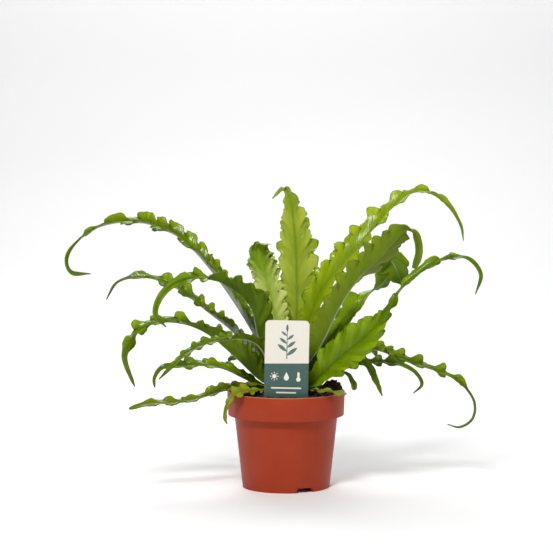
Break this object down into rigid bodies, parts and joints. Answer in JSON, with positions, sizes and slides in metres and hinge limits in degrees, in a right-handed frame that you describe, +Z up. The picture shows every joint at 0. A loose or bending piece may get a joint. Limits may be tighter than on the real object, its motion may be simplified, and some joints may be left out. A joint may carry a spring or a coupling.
{
  "type": "potted fern",
  "caption": "Bird's nest fern with waved, narrow-tailed fronds, in a terracotta-coloured plastic nursery pot of soil, with a plant label on a stake.",
  "frame": {"origin": "middle of the pot's underside, on the ground", "axes": "+Z up, -Y towards the front where the label stands, +X to the right"},
  "size_m": [0.4315, 0.293, 0.308],
  "materials": {
    "pot_plastic": "satin",
    "potting_soil": "matte",
    "crown_scales": "matte",
    "label_plastic": "satin",
    "frond_green": "satin",
    "frond_deep": "satin",
    "frond_bright": "satin",
    "frond_pale": "satin",
    "frond_olive": "satin",
    "frond_fresh": "satin",
    "frond_young": "satin",
    "frond_rim": "satin"
  },
  "bodies": {
    "root": {"pot": "pot_plastic", "soil": "potting_soil", "crown": "crown_scales", "label": "label_plastic", "frond_left_high": "frond_green", "frond_left_hooked": "frond_deep", "frond_left_whisker": "frond_green", "frond_left_broad": "frond_green", "frond_left_front": "frond_green", "frond_left_arched": "frond_green", "frond_left_low": "frond_olive", "frond_left_rim": "frond_rim", "frond_right_high": "frond_fresh", "frond_right_dark": "frond_olive", "frond_right_folded": "frond_bright", "frond_right_bright": "frond_bright", "frond_right_long": "frond_green", "frond_right_middle": "frond_green", "frond_right_hanging": "frond_green", "frond_right_small": "frond_green", "frond_right_rim": "frond_rim", "frond_centre_tall": "frond_pale", "frond_centre_curled": "frond_young", "frond_back_1": "frond_green", "frond_back_2": "frond_green", "frond_back_3": "frond_green", "frond_back_4": "frond_green", "frond_back_5": "frond_green", "frond_back_6": "frond_green"}
  },
  "joints": []
}
